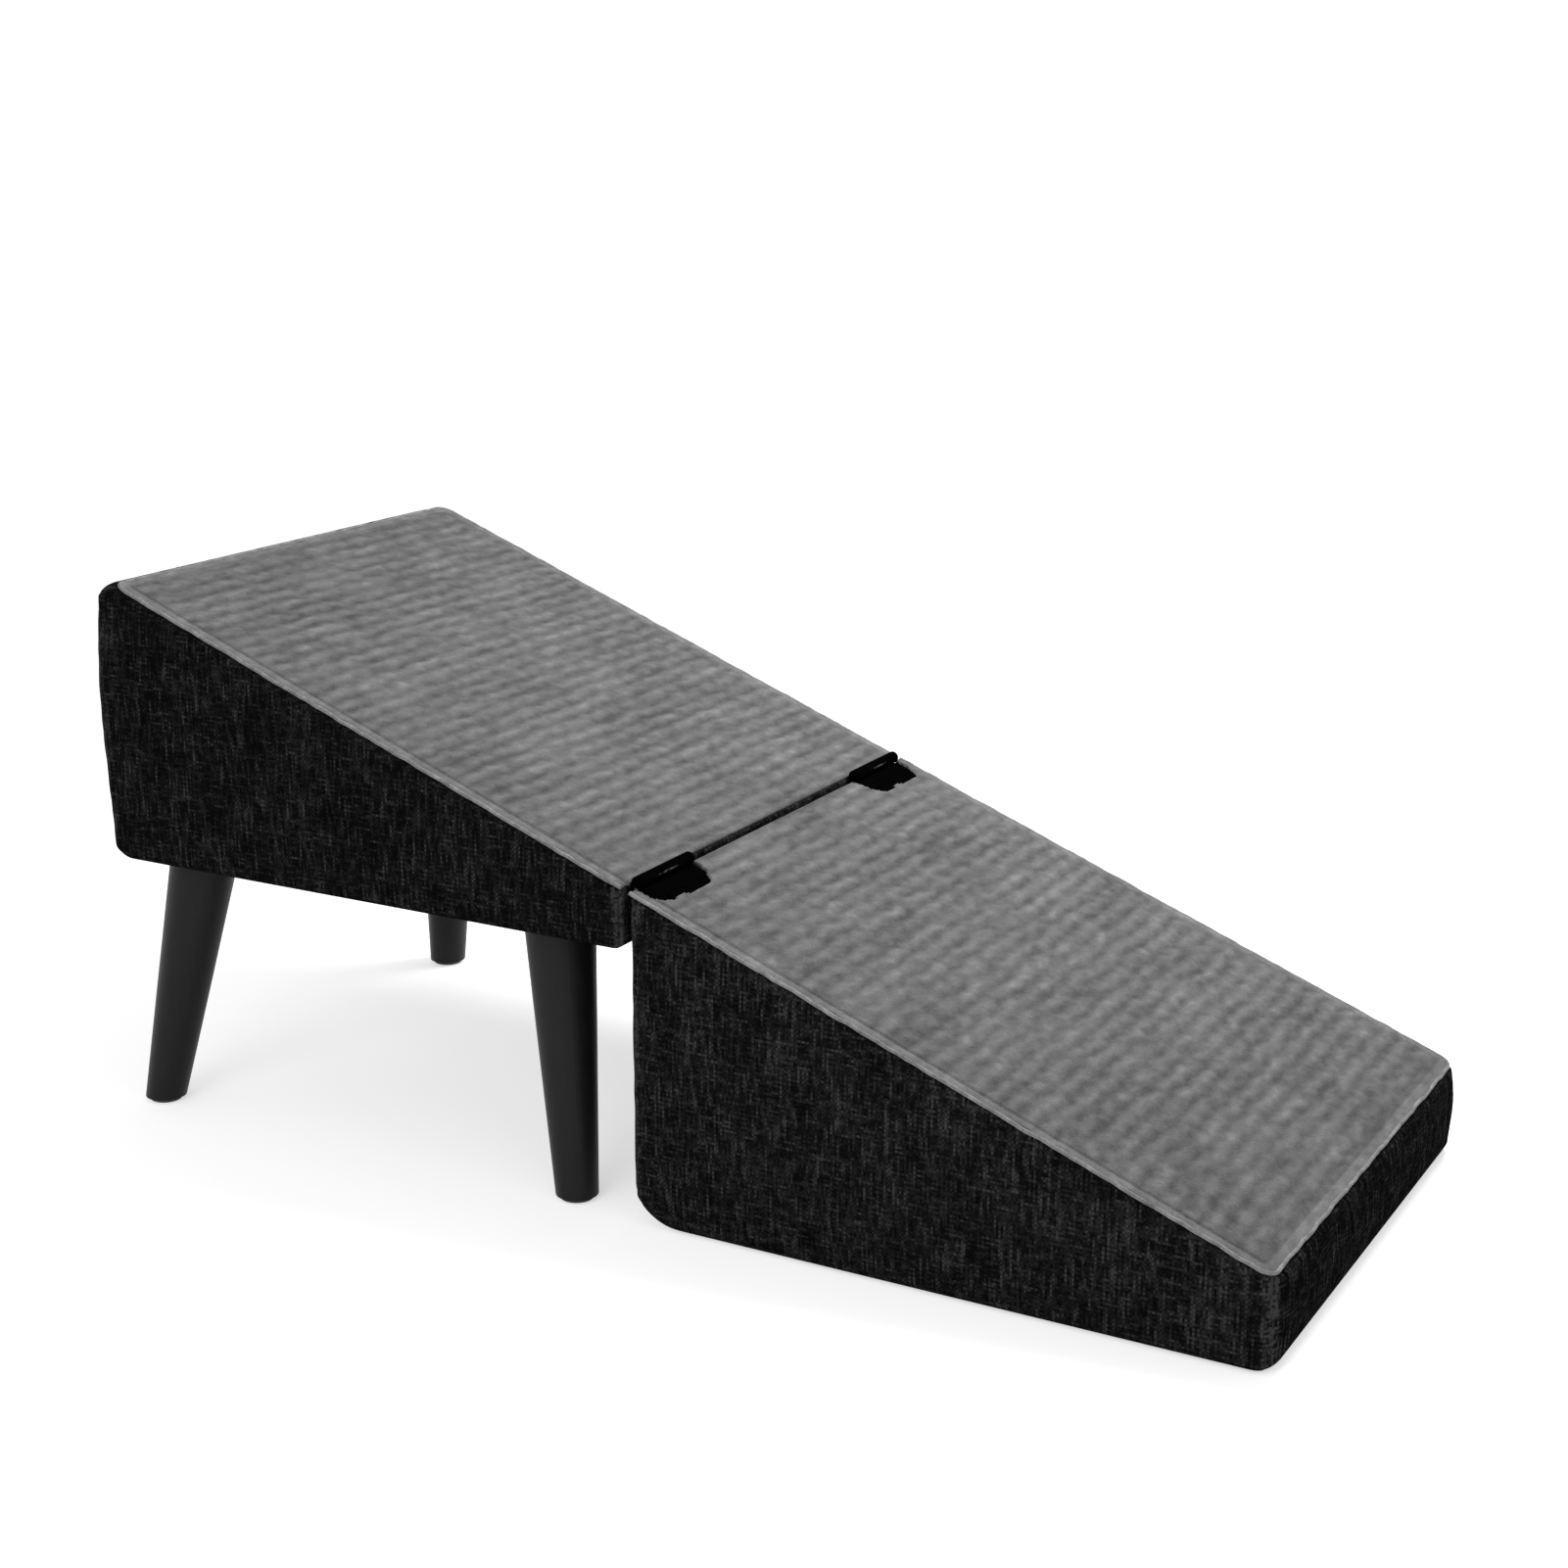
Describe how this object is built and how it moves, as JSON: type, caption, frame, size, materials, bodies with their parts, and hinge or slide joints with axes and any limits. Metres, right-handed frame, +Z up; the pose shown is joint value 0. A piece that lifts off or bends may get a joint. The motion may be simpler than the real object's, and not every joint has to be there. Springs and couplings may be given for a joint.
{
  "type": "dog ramp",
  "caption": "Folding upholstered dog ramp: a legged upper wedge hinged to a lower wedge with ribbed treads, which closes into a low ottoman.",
  "frame": {"origin": "on the floor, under the middle of the joint between the two sections, on the middle plane", "axes": "+X down the ramp towards its low end, +Y across it to the right of a dog that walks up, +Z up"},
  "size_m": [0.905, 0.4, 0.4004],
  "materials": {
    "linen": "matt woven linen-look polyester, charcoal with paler slubs",
    "tread": "matt ribbed pile, mid grey",
    "binding": "matt woven binding tape with piping, grey",
    "foam": "open-cell foam",
    "mdf": "raw medium-density fibreboard",
    "pine": "planed pine",
    "dust_cloth": "black non-woven cloth",
    "grip_cloth": "dark non-slip cloth with rubber dots",
    "leg": "satin black paint on turned wood",
    "glide": "dark plastic",
    "black_steel": "black coated steel",
    "zinc_steel": "zinc-plated steel"
  },
  "bodies": {
    "upper_section": {"upper_cover": "linen", "upper_padding": "foam", "upper_tread": "tread", "upper_tread_binding": "binding", "upper_deck_board": "mdf", "upper_base_board": "mdf", "upper_side_panel_left": "mdf", "upper_side_panel_right": "mdf", "upper_end_panel": "mdf", "upper_hinge_rail": "pine", "upper_cross_panel": "mdf", "upper_corner_blocks": "pine", "upper_dust_cloth": "dust_cloth", "leg_plate_rear_left": "black_steel", "leg_plate_rear_right": "black_steel", "leg_plate_front_left": "black_steel", "leg_plate_front_right": "black_steel", "leg_rear_left": "leg", "leg_rear_right": "leg", "leg_front_left": "leg", "leg_front_right": "leg", "leg_bolt_rear_left": "zinc_steel", "leg_bolt_rear_right": "zinc_steel", "leg_bolt_front_left": "zinc_steel", "leg_bolt_front_right": "zinc_steel", "leg_glide_rear_left": "glide", "leg_glide_rear_right": "glide", "leg_glide_front_left": "glide", "leg_glide_front_right": "glide", "leg_plate_screws": "zinc_steel", "hinge_left_upper_leaf": "black_steel", "hinge_right_upper_leaf": "black_steel", "hinge_left_pin": "black_steel", "hinge_right_pin": "black_steel", "hinge_left_upper_screws": "black_steel", "hinge_right_upper_screws": "black_steel"},
    "lower_section": {"lower_cover": "linen", "lower_padding": "foam", "lower_tread": "tread", "lower_tread_binding": "binding", "lower_deck_board": "mdf", "lower_base_board": "mdf", "lower_side_panel_left": "mdf", "lower_side_panel_right": "mdf", "lower_end_panel": "mdf", "lower_hinge_rail": "pine", "lower_toe_rail": "pine", "lower_cross_panel": "mdf", "lower_grip_cloth": "grip_cloth", "hinge_left_lower_leaf": "black_steel", "hinge_right_lower_leaf": "black_steel", "hinge_left_lower_screws": "black_steel", "hinge_right_lower_screws": "black_steel"}
  },
  "joints": [
    {"name": "fold", "type": "hinge", "parent": "upper_section", "child": "lower_section", "pos_m": [0.0023, 0, 0.23793], "axis": [0, -1, 0], "range_deg": [0, 180]}
  ]
}
